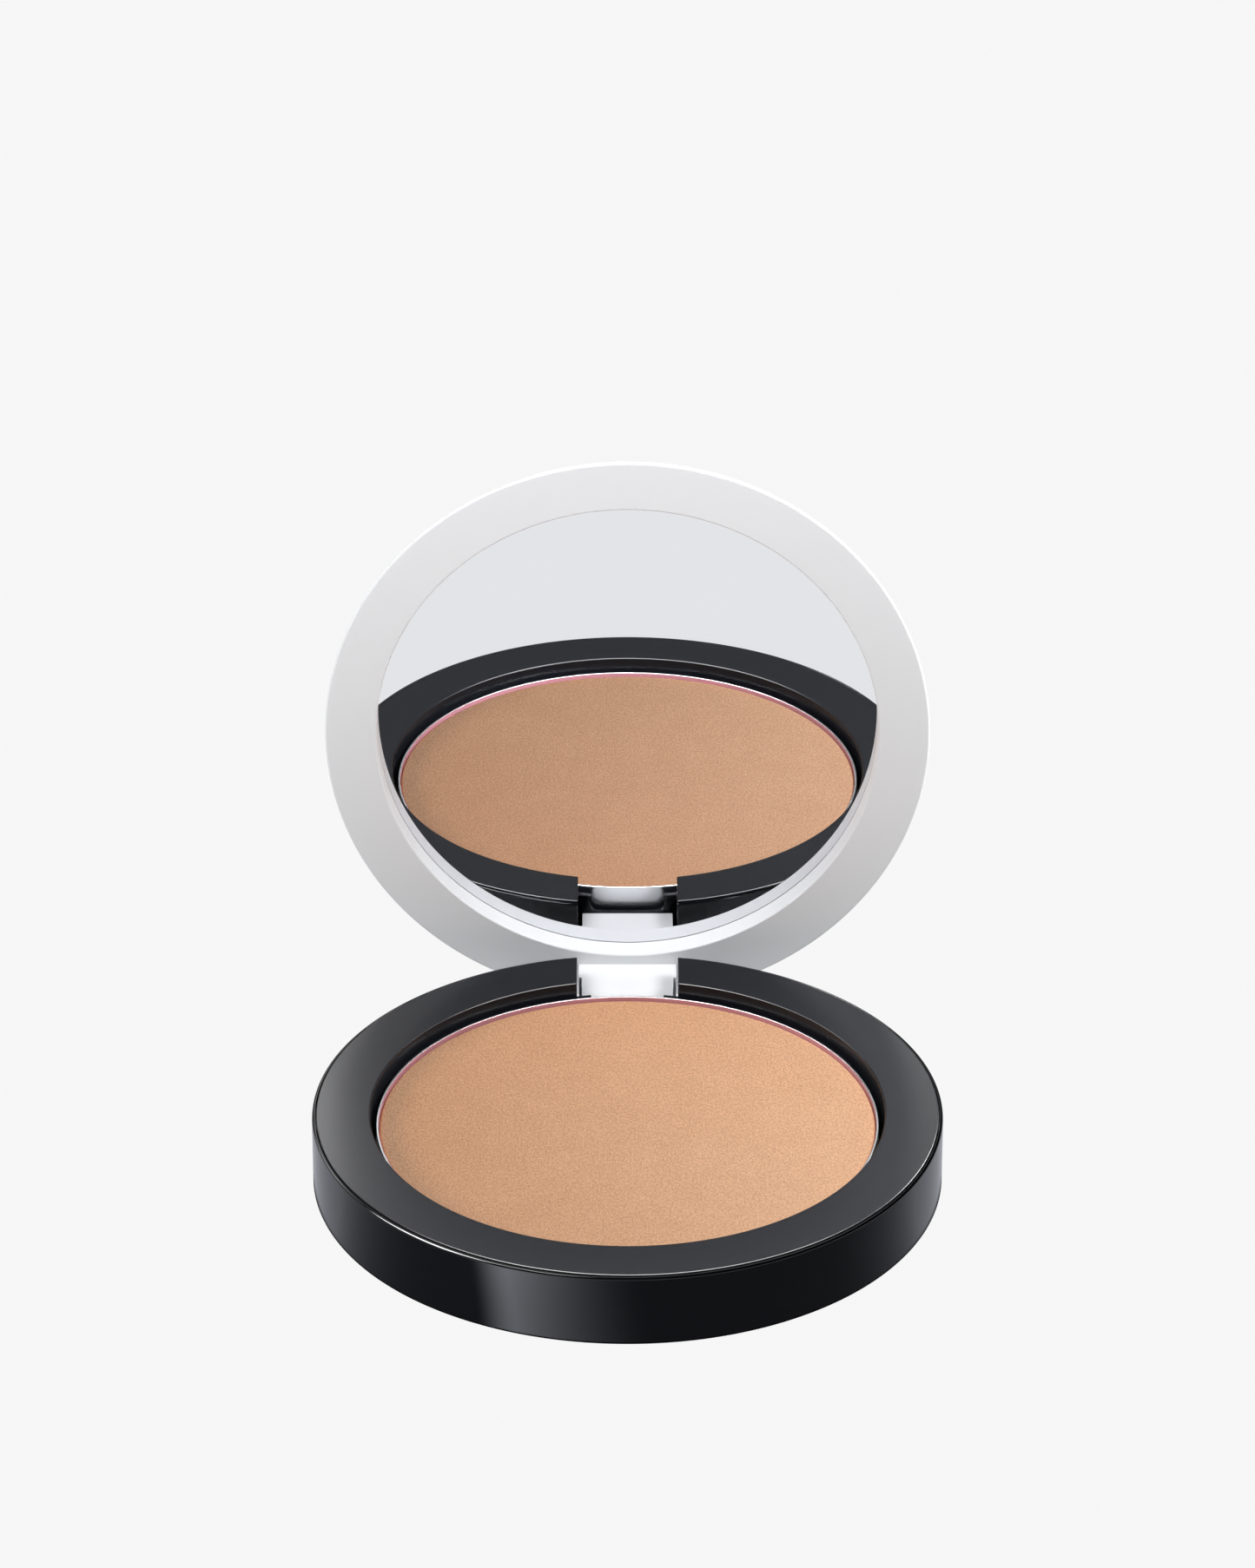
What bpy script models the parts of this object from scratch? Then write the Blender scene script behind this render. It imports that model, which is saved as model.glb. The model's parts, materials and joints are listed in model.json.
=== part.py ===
"""Round pressed-powder compact with a mirror in its lid, standing fully open.

Frame: metres, +Z up, +X right, the hinge at the back (+Y).
The origin is on the axis of the round base, on the surface that the base stands on.
The lid is modelled shut, lying on the base, under an empty on the hinge axis.
Turning that empty by the opening angle swings every lid piece up to the open rest pose.
"""
import math

import bmesh
import bpy
from mathutils import Matrix

MM = 0.001

# Base: a gloss cup that holds a satin tray, whose well holds the powder pan.
BODY_RADIUS = 37.0 * MM
RING_TOP = 9.1 * MM
SHELL_RIM_DROP = 0.15 * MM
SHELL_FLOOR = 1.2 * MM
SHELL_WALL = 1.5 * MM
SHELL_LEDGE = 7.7 * MM
FOOT_BEVEL = 0.5 * MM
FOOT_BULGE = 0.15 * MM
LABEL_RADIUS = 24.0 * MM
LABEL_THICKNESS = 0.12 * MM
RING_RADIUS = 36.5 * MM
RING_PLAY = 0.12 * MM
RING_THICKNESS = 1.25 * MM
EDGE_BEVEL = 0.15 * MM
WELL_RADIUS = 30.2 * MM
WELL_WALL = 0.8 * MM
WELL_FLOOR_TOP = 2.7 * MM
WELL_FLOOR = 0.8 * MM

# Powder pan and cake.
PAN_RADIUS = 29.5 * MM
PAN_RIM = 7.45 * MM
PAN_BASE = 2.95 * MM
PAN_SHEET = 0.3 * MM
PAN_GLUE_RADIUS = 27.0 * MM
POWDER_TOP = 7.0 * MM
POWDER_EDGE_DROP = 0.12 * MM
POWDER_EDGE = 0.5 * MM

# Hinge: a lug on the lid frame between two ears in the base, on one steel pin.
AXIS_Y = 34.05 * MM
AXIS_Z = 3.45 * MM
OPEN_ANGLE = math.radians(90.0)
PIN_RADIUS = 0.6 * MM
PIN_LEFT = -9.6 * MM
PIN_RIGHT = 13.9 * MM
EAR_BORE_RADIUS = 0.63 * MM
LUG_BORE_RADIUS = 0.68 * MM
LUG_RADIUS = 2.5 * MM
LUG_ROOT = 0.7 * MM
SCOOP_RADIUS = 6.25 * MM
SCOOP_HALF = 12.5 * MM
KNUCKLE_HALF = 5.6 * MM
LUG_HALF = 5.97 * MM
NOTCH_HALF = 6.15 * MM
NOTCH_FLOOR = 0.7 * MM
NOTCH_FRONT = 31.2 * MM
EAR_OUTER = 10.6 * MM
EAR_TOP = 7.2 * MM
WINDOW_HALF = 4.65 * MM
WINDOW_LOW = 4.6 * MM
WINDOW_HIGH = 7.2 * MM
WINDOW_CORNER = 1.0 * MM
NOTCH_SILL = 6.85 * MM

# Lid: a crowned cover, a satin mirror frame and the mirror. Depths run back from the frame's face.
LID_GAP = 0.12 * MM
LID_RADIUS = 36.55 * MM
LID_EDGE = 0.9 * MM
LID_BEVEL = 0.2 * MM
FRAME_INNER = 30.25 * MM
FRAME_THICKNESS = 1.3 * MM
FRAME_SPIGOT = 34.6 * MM
RECESS_DEPTH = 3.1 * MM
RECESS_WALL = 0.95 * MM
MIRROR_FRONT = 3.2 * MM
MIRROR_THICKNESS = 1.0 * MM
MIRROR_RADIUS = 30.9 * MM
MIRROR_PLAY = 0.45 * MM
MIRROR_GLUE_RADIUS = 29.0 * MM
COVER_DEPTH = 6.6 * MM
COVER_START = 0.35 * MM
COVER_POWER = 10.5
COVER_POINTS = 14
COVER_FLOOR = 4.45 * MM
# The cover's hollow narrows in two bends: one in from the spigot, one out from the mirror.
SPIGOT_DEEP = 1.9 * MM
HOLLOW_BEND = (1.1 * MM, 2.9 * MM)
HOLLOW_SHOULDER = (0.7 * MM, 3.9 * MM)

# Magnets of the hidden catch, opposite the hinge.
MAGNET_RADIUS = 1.25 * MM
MAGNET_HEIGHT = 1.0 * MM
MAGNET_PLACE = 33.1 * MM
BASE_MAGNET_TOP = 7.65 * MM
LID_MAGNET_DEPTH = 1.4 * MM
POST_RADIUS = 1.75 * MM
BOSS_RADIUS = 1.75 * MM
POCKET_PLAY = 0.1 * MM

# Thin glue layers keep this gap to the two faces that they join.
GLUE_GAP = 0.05 * MM
TURNED_SEGMENTS = 72
SMALL_SEGMENTS = 24
CUT_MARGIN = 2.0 * MM

FACE_Z = RING_TOP + LID_GAP
SHELL_INNER = BODY_RADIUS - SHELL_WALL


def clear_scene():
    for obj in list(bpy.data.objects):
        bpy.data.objects.remove(obj, do_unlink=True)


def make_collection(name):
    collection = bpy.data.collections.new(name)
    bpy.context.scene.collection.children.link(collection)
    return collection


def make_material(name, colour, roughness, metallic=0.0):
    material = bpy.data.materials.new(name)
    material.use_nodes = True
    shader = material.node_tree.nodes["Principled BSDF"]
    shader.inputs["Base Color"].default_value = (*colour, 1.0)
    shader.inputs["Roughness"].default_value = roughness
    shader.inputs["Metallic"].default_value = metallic
    material.diffuse_color = (*colour, 1.0)
    return material


def add_object(name, mesh, collection, material=None):
    obj = bpy.data.objects.new(name, mesh)
    collection.objects.link(obj)
    if material:
        mesh.materials.append(material)
    return obj


def apply_modifiers(obj):
    """Bake the modifiers into the mesh and shade its round faces smooth."""
    depsgraph = bpy.context.evaluated_depsgraph_get()
    mesh = bpy.data.meshes.new_from_object(obj.evaluated_get(depsgraph))
    obj.modifiers.clear()
    obj.data = mesh
    mesh.shade_smooth()
    mesh.set_sharp_from_angle(angle=math.radians(30.0))


def turned(name, profile, collection, material=None, closed=False):
    """Turn a (radius, height) profile about Z. It runs down its outer side."""
    mesh = bpy.data.meshes.new(name)
    edges = [(i, i + 1) for i in range(len(profile) - 1)]
    if closed:
        edges.append((len(profile) - 1, 0))
    mesh.from_pydata([(r, 0.0, z) for r, z in profile], edges, [])
    obj = add_object(name, mesh, collection, material)
    screw = obj.modifiers.new("turn", "SCREW")
    screw.steps = TURNED_SEGMENTS
    screw.render_steps = TURNED_SEGMENTS
    screw.use_merge_vertices = True
    screw.merge_threshold = 0.000001
    apply_modifiers(obj)
    return obj


def box(name, low, high, collection):
    """A box between two corners, given as (x, y, z)."""
    mesh = bpy.data.meshes.new(name)
    shape = bmesh.new()
    bmesh.ops.create_cube(shape, size=1.0)
    for vertex in shape.verts:
        vertex.co = [low[i] + (vertex.co[i] + 0.5) * (high[i] - low[i]) for i in range(3)]
    shape.to_mesh(mesh)
    shape.free()
    return add_object(name, mesh, collection)


def cylinder(name, centre, radius, length, collection, axis="Z", material=None, segments=SMALL_SEGMENTS):
    mesh = bpy.data.meshes.new(name)
    shape = bmesh.new()
    bmesh.ops.create_cone(shape, cap_ends=True, segments=segments, radius1=radius,
                          radius2=radius, depth=length)
    turn = Matrix.Rotation(math.pi / 2, 4, "Y") if axis == "X" else Matrix()
    bmesh.ops.transform(shape, matrix=Matrix.Translation(centre) @ turn, verts=shape.verts)
    shape.to_mesh(mesh)
    shape.free()
    obj = add_object(name, mesh, collection, material)
    mesh.shade_smooth()
    mesh.set_sharp_from_angle(angle=math.radians(30.0))
    return obj


def combine(obj, tool, operation):
    """Union with, cut by or keep what is inside a helper solid."""
    boolean = obj.modifiers.new(operation.lower(), "BOOLEAN")
    boolean.operation = operation
    boolean.solver = "EXACT"
    boolean.object = tool
    tool.hide_render = True
    tool.display_type = "WIRE"
    apply_modifiers(obj)


def rounded_prism(name, half_width, low, high, corner, front, back, collection):
    """A rounded rectangle in X and Z, extruded along Y."""
    corner_steps = 4
    centres = [(half_width - corner, high - corner, 0), (corner - half_width, high - corner, 1),
               (corner - half_width, low + corner, 2), (half_width - corner, low + corner, 3)]
    outline = []
    for x, z, quarter in centres:
        for step in range(corner_steps + 1):
            angle = (quarter + step / corner_steps) * math.pi / 2
            outline.append((x + corner * math.cos(angle), z + corner * math.sin(angle)))
    mesh = bpy.data.meshes.new(name)
    shape = bmesh.new()
    face = shape.faces.new([shape.verts.new((x, front, z)) for x, z in outline])
    pushed = bmesh.ops.extrude_face_region(shape, geom=[face])
    moved = [item for item in pushed["geom"] if isinstance(item, bmesh.types.BMVert)]
    bmesh.ops.translate(shape, vec=(0.0, back - front, 0.0), verts=moved)
    bmesh.ops.recalc_face_normals(shape, faces=shape.faces)
    shape.to_mesh(mesh)
    shape.free()
    return add_object(name, mesh, collection)


def hinge_notch(name, floor, collection):
    """Clearance for the lid's lug, open to the back and the top."""
    return box(name, (-NOTCH_HALF, NOTCH_FRONT, floor),
               (NOTCH_HALF, BODY_RADIUS + CUT_MARGIN, RING_TOP + CUT_MARGIN), collection)


def make_base_shell(parts, tools, gloss):
    rim = RING_TOP - SHELL_RIM_DROP
    rebate = RING_RADIUS + RING_PLAY
    recess = LABEL_RADIUS + POCKET_PLAY
    recess_top = LABEL_THICKNESS + GLUE_GAP
    profile = [
        (0.0, SHELL_FLOOR),
        (SHELL_INNER, SHELL_FLOOR),
        (SHELL_INNER, SHELL_LEDGE),
        (rebate, SHELL_LEDGE),
        (rebate, rim),
        (BODY_RADIUS - EDGE_BEVEL, rim),
        (BODY_RADIUS, rim - EDGE_BEVEL),
        (BODY_RADIUS, FOOT_BEVEL),
        (BODY_RADIUS - FOOT_BULGE, FOOT_BULGE),
        (BODY_RADIUS - FOOT_BEVEL, 0.0),
        (recess, 0.0),
        (recess, recess_top),
        (0.0, recess_top),
    ]
    shell = turned("base_shell", profile, parts, gloss)
    inside_wall = cylinder("shell_limit", (0.0, 0.0, RING_TOP / 2), BODY_RADIUS - SHELL_WALL / 2, RING_TOP,
                           tools, segments=TURNED_SEGMENTS)
    for side, name in ((-1, "left"), (1, "right")):
        low_x, high_x = sorted((side * (NOTCH_HALF - MM), side * EAR_OUTER))
        ear = box(f"ear_{name}", (low_x, NOTCH_FRONT, SHELL_FLOOR / 2), (high_x, BODY_RADIUS, EAR_TOP), tools)
        combine(ear, inside_wall, "INTERSECT")
        combine(shell, ear, "UNION")
    post = cylinder("magnet_post", (0.0, -MAGNET_PLACE, (SHELL_FLOOR / 2 + SHELL_LEDGE) / 2), POST_RADIUS,
                    SHELL_LEDGE - SHELL_FLOOR / 2, tools)
    combine(shell, post, "UNION")
    pocket_floor = BASE_MAGNET_TOP - MAGNET_HEIGHT - GLUE_GAP
    pocket = cylinder("magnet_pocket", (0.0, -MAGNET_PLACE, pocket_floor + CUT_MARGIN),
                      MAGNET_RADIUS + POCKET_PLAY, 2 * CUT_MARGIN, tools)
    combine(shell, pocket, "DIFFERENCE")
    combine(shell, hinge_notch("shell_notch", NOTCH_FLOOR, tools), "DIFFERENCE")
    bore_left = PIN_LEFT - POCKET_PLAY
    bore_right = BODY_RADIUS / 2
    bore = cylinder("ear_bore", ((bore_left + bore_right) / 2, AXIS_Y, AXIS_Z), EAR_BORE_RADIUS,
                    bore_right - bore_left, tools, axis="X")
    combine(shell, bore, "DIFFERENCE")
    return shell


def make_base_tray(parts, tools, satin):
    underside = RING_TOP - RING_THICKNESS
    profile = [
        (0.0, WELL_FLOOR_TOP),
        (WELL_RADIUS, WELL_FLOOR_TOP),
        (WELL_RADIUS, RING_TOP - EDGE_BEVEL),
        (WELL_RADIUS + EDGE_BEVEL, RING_TOP),
        (RING_RADIUS - EDGE_BEVEL, RING_TOP),
        (RING_RADIUS, RING_TOP - EDGE_BEVEL),
        (RING_RADIUS, underside),
        (WELL_RADIUS + WELL_WALL, underside),
        (WELL_RADIUS + WELL_WALL, WELL_FLOOR_TOP - WELL_FLOOR),
        (0.0, WELL_FLOOR_TOP - WELL_FLOOR),
    ]
    tray = turned("base_tray", profile, parts, satin)
    notch = box("tray_notch", (-NOTCH_HALF, PAN_RADIUS / 2, NOTCH_SILL),
                (NOTCH_HALF, BODY_RADIUS + CUT_MARGIN, RING_TOP + CUT_MARGIN), tools)
    combine(tray, notch, "DIFFERENCE")
    window = rounded_prism("tray_window", WINDOW_HALF, WINDOW_LOW, WINDOW_HIGH, WINDOW_CORNER,
                           PAN_RADIUS / 2, BODY_RADIUS, tools)
    combine(tray, window, "DIFFERENCE")
    return tray


def make_powder_pan(parts, metal):
    profile = [
        (0.0, PAN_BASE + PAN_SHEET),
        (PAN_RADIUS - PAN_SHEET, PAN_BASE + PAN_SHEET),
        (PAN_RADIUS - PAN_SHEET, PAN_RIM),
        (PAN_RADIUS, PAN_RIM),
        (PAN_RADIUS, PAN_BASE + PAN_SHEET),
        (PAN_RADIUS - PAN_SHEET, PAN_BASE),
        (0.0, PAN_BASE),
    ]
    return turned("powder_pan", profile, parts, metal)


def make_powder(parts, powder):
    radius = PAN_RADIUS - PAN_SHEET - GLUE_GAP
    profile = [
        (0.0, POWDER_TOP),
        (radius - POWDER_EDGE, POWDER_TOP),
        (radius, POWDER_TOP - POWDER_EDGE_DROP),
        (radius, PAN_BASE + PAN_SHEET + GLUE_GAP),
        (0.0, PAN_BASE + PAN_SHEET + GLUE_GAP),
    ]
    return turned("pressed_powder", profile, parts, powder)


def make_disc(name, radius, low, high, parts, material):
    return turned(name, [(0.0, high), (radius, high), (radius, low), (0.0, low)], parts, material)


def crown_depth(radius):
    """Depth of the lid's crowned outside behind the frame's face."""
    return COVER_START + (COVER_DEPTH - COVER_START) * (1.0 - (radius / LID_RADIUS) ** COVER_POWER)


def crown_radius(depth):
    """Radius of the crowned outside at a depth behind the frame's face."""
    share = (depth - COVER_START) / (COVER_DEPTH - COVER_START)
    return LID_RADIUS * (1.0 - share) ** (1.0 / COVER_POWER)


def make_lid_frame(parts, tools, white):
    """The ring that faces the user. A scoop round the hinge axis lets the base's back rim swing past."""
    wall = FRAME_INNER + RECESS_WALL
    profile = [
        (FRAME_INNER, FACE_Z + RECESS_DEPTH),
        (wall, FACE_Z + RECESS_DEPTH),
        (wall, FACE_Z + FRAME_THICKNESS),
        (FRAME_SPIGOT, FACE_Z + FRAME_THICKNESS),
        (FRAME_SPIGOT, FACE_Z + LID_EDGE),
        (crown_radius(LID_EDGE), FACE_Z + LID_EDGE),
        (LID_RADIUS, FACE_Z + LID_BEVEL),
        (LID_RADIUS - LID_BEVEL, FACE_Z),
        (FRAME_INNER + EDGE_BEVEL, FACE_Z),
        (FRAME_INNER, FACE_Z + EDGE_BEVEL),
    ]
    frame = turned("lid_frame", profile, parts, white, closed=True)
    scoop = cylinder("rim_scoop", (0.0, AXIS_Y, AXIS_Z), SCOOP_RADIUS, 2 * SCOOP_HALF, tools, axis="X",
                     segments=4 * SMALL_SEGMENTS)
    combine(frame, scoop, "DIFFERENCE")
    root = FACE_Z + LUG_ROOT
    back = AXIS_Y + LUG_RADIUS
    shoulder = AXIS_Z + LUG_RADIUS
    lug = box("lug_upper", (-LUG_HALF, AXIS_Y - LUG_RADIUS, shoulder), (LUG_HALF, back, root), tools)
    neck = box("lug_lower", (-KNUCKLE_HALF, AXIS_Y - LUG_RADIUS, AXIS_Z), (KNUCKLE_HALF, back, shoulder + MM),
               tools)
    knuckle = cylinder("lug_knuckle", (0.0, AXIS_Y, AXIS_Z), LUG_RADIUS, 2 * KNUCKLE_HALF, tools, axis="X",
                       segments=2 * SMALL_SEGMENTS)
    combine(lug, neck, "UNION")
    combine(lug, knuckle, "UNION")
    limit = cylinder("lug_limit", (0.0, 0.0, RING_TOP / 2), LID_RADIUS - LID_BEVEL - GLUE_GAP, 2 * RING_TOP,
                     tools, segments=TURNED_SEGMENTS)
    combine(lug, limit, "INTERSECT")
    combine(frame, lug, "UNION")
    bore = cylinder("lug_bore", (0.0, AXIS_Y, AXIS_Z), LUG_BORE_RADIUS, 3 * KNUCKLE_HALF, tools, axis="X")
    combine(frame, bore, "DIFFERENCE")
    return frame


def make_lid_cover(parts, tools, white):
    """The crowned back of the lid, hollow in front for the mirror and the frame."""
    rim_depth = LID_EDGE + GLUE_GAP
    crown = []
    for step in range(COVER_POINTS + 1):
        radius = crown_radius(rim_depth) * math.sin(math.pi / 2 * step / COVER_POINTS)
        crown.append((radius, FACE_Z + crown_depth(radius)))
    spigot_room = FRAME_SPIGOT + POCKET_PLAY
    mirror_room = MIRROR_RADIUS + MIRROR_PLAY
    hollow = [
        (spigot_room, FACE_Z + rim_depth),
        (spigot_room, FACE_Z + SPIGOT_DEEP),
        (spigot_room - HOLLOW_BEND[0], FACE_Z + HOLLOW_BEND[1]),
        (mirror_room + HOLLOW_SHOULDER[0], FACE_Z + HOLLOW_SHOULDER[1]),
        (mirror_room, FACE_Z + COVER_FLOOR),
        (0.0, FACE_Z + COVER_FLOOR),
    ]
    cover = turned("lid_cover", crown + hollow, parts, white)
    boss_low = FACE_Z + LID_MAGNET_DEPTH
    boss_high = FACE_Z + crown_depth(MAGNET_PLACE + BOSS_RADIUS) - EDGE_BEVEL
    boss = cylinder("magnet_boss", (0.0, -MAGNET_PLACE, (boss_low + boss_high) / 2), BOSS_RADIUS,
                    boss_high - boss_low, tools)
    limit = cylinder("boss_limit", (0.0, 0.0, FACE_Z), spigot_room + POCKET_PLAY, 3 * COVER_DEPTH, tools,
                     segments=TURNED_SEGMENTS)
    combine(boss, limit, "INTERSECT")
    combine(cover, boss, "UNION")
    pocket_high = FACE_Z + LID_MAGNET_DEPTH + MAGNET_HEIGHT + POCKET_PLAY
    pocket = cylinder("lid_magnet_pocket", (0.0, -MAGNET_PLACE, pocket_high - CUT_MARGIN / 2),
                      MAGNET_RADIUS + POCKET_PLAY, CUT_MARGIN, tools)
    combine(cover, pocket, "DIFFERENCE")
    return cover


def make_magnet(name, top, parts, metal):
    return cylinder(name, (0.0, -MAGNET_PLACE, top - MAGNET_HEIGHT / 2), MAGNET_RADIUS, MAGNET_HEIGHT,
                    parts, material=metal)


def hang_on_hinge(pieces):
    """Put the shut lid's pieces under an empty on the hinge axis and swing it open."""
    hinge = bpy.data.objects.new("lid_hinge_axis", None)
    bpy.context.scene.collection.objects.link(hinge)
    hinge.location = (0.0, AXIS_Y, AXIS_Z)
    for piece in pieces:
        piece.data.transform(Matrix.Translation((0.0, -AXIS_Y, -AXIS_Z)))
        piece.parent = hinge
    hinge.rotation_euler = (-OPEN_ANGLE, 0.0, 0.0)


def build():
    clear_scene()
    parts = make_collection("powder_compact")
    tools = make_collection("cutters")
    gloss = make_material("gloss_black", (0.006, 0.007, 0.009), 0.12)
    satin = make_material("satin_black", (0.03, 0.032, 0.036), 0.38)
    white = make_material("satin_white", (0.82, 0.82, 0.83), 0.35)
    tin = make_material("pan_metal", (0.86, 0.87, 0.88), 0.25, 1.0)
    cake = make_material("powder", (0.62, 0.36, 0.2), 0.95)
    glass = make_material("mirror_silver", (0.9, 0.92, 0.94), 0.02, 1.0)
    steel = make_material("pin_steel", (0.6, 0.6, 0.62), 0.3, 1.0)
    nickel = make_material("magnet_nickel", (0.7, 0.68, 0.64), 0.3, 1.0)
    tape = make_material("adhesive", (0.75, 0.74, 0.7), 0.6)
    paper = make_material("label_paper", (0.8, 0.8, 0.8), 0.5)

    make_base_shell(parts, tools, gloss)
    make_base_tray(parts, tools, satin)
    make_powder_pan(parts, tin)
    make_powder(parts, cake)
    make_disc("pan_adhesive", PAN_GLUE_RADIUS, WELL_FLOOR_TOP + GLUE_GAP, PAN_BASE - GLUE_GAP, parts, tape)
    make_disc("base_label", LABEL_RADIUS, 0.0, LABEL_THICKNESS, parts, paper)
    make_magnet("base_magnet", BASE_MAGNET_TOP, parts, nickel)
    cylinder("hinge_pin", ((PIN_LEFT + PIN_RIGHT) / 2, AXIS_Y, AXIS_Z), PIN_RADIUS, PIN_RIGHT - PIN_LEFT,
             parts, axis="X", material=steel)

    mirror_back = FACE_Z + MIRROR_FRONT + MIRROR_THICKNESS
    hang_on_hinge([
        make_lid_frame(parts, tools, white),
        make_lid_cover(parts, tools, white),
        make_disc("mirror", MIRROR_RADIUS, FACE_Z + MIRROR_FRONT, mirror_back, parts, glass),
        make_disc("mirror_adhesive", MIRROR_GLUE_RADIUS, mirror_back + GLUE_GAP,
                  FACE_Z + COVER_FLOOR - GLUE_GAP, parts, tape),
        make_magnet("lid_magnet", FACE_Z + LID_MAGNET_DEPTH + MAGNET_HEIGHT, parts, nickel),
    ])


build()
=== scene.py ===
"""Looks of the powder compact: fine surfaces, materials, soft studio light and the camera.

The lid's pieces are modelled shut, lying on the base, and then swung open about the hinge axis,
so every height here is measured up from the table and every lid depth up from the lid's face.
"""

import json
import math

import bmesh
import bpy
from mathutils import Matrix, Vector, noise


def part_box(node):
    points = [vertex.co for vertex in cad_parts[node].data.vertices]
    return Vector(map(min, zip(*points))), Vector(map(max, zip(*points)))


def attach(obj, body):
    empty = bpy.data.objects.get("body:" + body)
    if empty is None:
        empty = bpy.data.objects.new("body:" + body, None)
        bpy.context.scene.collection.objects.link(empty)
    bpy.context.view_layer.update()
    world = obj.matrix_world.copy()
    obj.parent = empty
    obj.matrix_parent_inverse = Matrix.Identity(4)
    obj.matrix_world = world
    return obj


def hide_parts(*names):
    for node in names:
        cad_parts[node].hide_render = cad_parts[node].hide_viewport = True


MM = 0.001
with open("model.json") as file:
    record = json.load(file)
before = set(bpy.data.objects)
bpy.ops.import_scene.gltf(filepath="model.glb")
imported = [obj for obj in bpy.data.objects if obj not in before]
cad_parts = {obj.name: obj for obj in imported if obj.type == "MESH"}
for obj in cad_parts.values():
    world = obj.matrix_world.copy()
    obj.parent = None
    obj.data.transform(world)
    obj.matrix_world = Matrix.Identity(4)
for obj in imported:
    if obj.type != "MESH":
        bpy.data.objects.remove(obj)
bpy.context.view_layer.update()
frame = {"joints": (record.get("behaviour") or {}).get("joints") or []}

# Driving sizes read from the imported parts.
SHELL_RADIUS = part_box("base_shell")[1].x
SHELL_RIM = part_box("base_shell")[1].z
RING_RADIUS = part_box("base_tray")[1].x
RING_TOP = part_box("base_tray")[1].z
TRAY_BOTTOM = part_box("base_tray")[0].z
PAN_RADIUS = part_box("powder_pan")[1].x
PAN_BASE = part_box("powder_pan")[0].z
PAN_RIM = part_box("powder_pan")[1].z
CAKE_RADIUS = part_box("pressed_powder")[1].x
CAKE_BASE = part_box("pressed_powder")[0].z
CAKE_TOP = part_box("pressed_powder")[1].z
LID_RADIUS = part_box("lid_frame")[1].x
MIRROR_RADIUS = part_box("mirror")[1].x
HINGE = Vector(frame["joints"][0]["pos_m"])

# Heights of the shut lid, worked out from the open one about the hinge axis.
MIRROR_FRONT = 3.2 * MM
FACE = HINGE.z + (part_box("mirror")[0].y - HINGE.y) - MIRROR_FRONT
MIRROR_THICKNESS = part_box("mirror")[1].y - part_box("mirror")[0].y
COVER_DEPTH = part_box("lid_cover")[1].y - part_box("mirror")[0].y + MIRROR_FRONT

# Base.
SHELL_WALL = 1.5 * MM
SHELL_FLOOR = 1.2 * MM
SHELL_LEDGE = 7.7 * MM
REBATE_PLAY = 0.12 * MM
LABEL_ROOM = 24.1 * MM
LABEL_DEPTH = 0.17 * MM
SHELL_RIM_FILLET = 0.3 * MM
FOOT_FILLET = 0.5 * MM
RING_THICKNESS = 1.25 * MM
RING_FILLET = 0.16 * MM
WELL_RADIUS = 30.2 * MM
WELL_WALL = 0.8 * MM
WELL_FLOOR = 0.8 * MM
WALL_NEAR = 0.01 * MM
SHEET = 0.3 * MM
PINK_BAND_REACH = (0.01 * MM, 0.06 * MM)  # the pan's pink inner band fades out between these depths into its wall
CAKE_EDGE = 0.3 * MM
CAKE_RINGS = 60
CAKE_LUMP = 7.0 * MM
CAKE_RELIEF = 0.012 * MM

# Hinge.
NOTCH_HALF = 6.15 * MM
NOTCH_FRONT = 31.2 * MM
NOTCH_FLOOR = 0.7 * MM
NOTCH_SILL = 6.85 * MM
EAR_OUTER = 10.6 * MM
EAR_TOP = 7.2 * MM
EAR_EDGE = 0.15 * MM
EAR_BORE = 0.63 * MM
BORE_PLAY = 0.1 * MM
NOTCH_EDGE = 0.12 * MM  # rounding of the edges beside the hinge
NOTCH_EDGE_DEPTH = 2.5 * MM  # how far in from the shell's outside its notch is rounded
LUG_RADIUS = 2.5 * MM
LUG_BORE = 0.68 * MM
LUG_HALF = 5.97 * MM
KNUCKLE_HALF = 5.6 * MM
LUG_ROOT = 0.7 * MM
LUG_INSET = 0.25 * MM
SCOOP_RADIUS = 6.25 * MM
SCOOP_HALF = 12.5 * MM
WINDOW_HALF = 4.65 * MM
WINDOW_LOW = 4.6 * MM
WINDOW_HIGH = 7.2 * MM
WINDOW_CORNER = 1.0 * MM

# Lid.
LID_EDGE = 0.9 * MM
FRAME_INNER = 30.25 * MM
FRAME_THICKNESS = 1.3 * MM
FRAME_SPIGOT = 34.6 * MM
FRAME_OUTER_FILLET = 0.3 * MM
FRAME_INNER_FILLET = 0.22 * MM
RECESS_DEPTH = 3.1 * MM
RECESS_WALL = 0.95 * MM
COVER_START = 0.35 * MM
COVER_POWER = 10.5
COVER_FLOOR = 4.45 * MM
COVER_POINTS = 40
COVER_GAP = 0.05 * MM
SPIGOT_PLAY = 0.1 * MM
SPIGOT_DEEP = 1.9 * MM
MIRROR_PLAY = 0.45 * MM
# The hollow's bend and shoulder: inset from the wall beside each, and depth behind the face.
HOLLOW_BEND = (1.1 * MM, 2.9 * MM)
HOLLOW_SHOULDER = (0.7 * MM, 3.9 * MM)
MAGNET_PLACE = 33.1 * MM
MAGNET_ROOM = 1.35 * MM
BASE_POCKET_PLAY = 0.05 * MM
LID_POCKET_PLAY = 0.1 * MM
BOSS_RADIUS = 1.75 * MM
BOSS_SINK = 0.15 * MM

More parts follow.
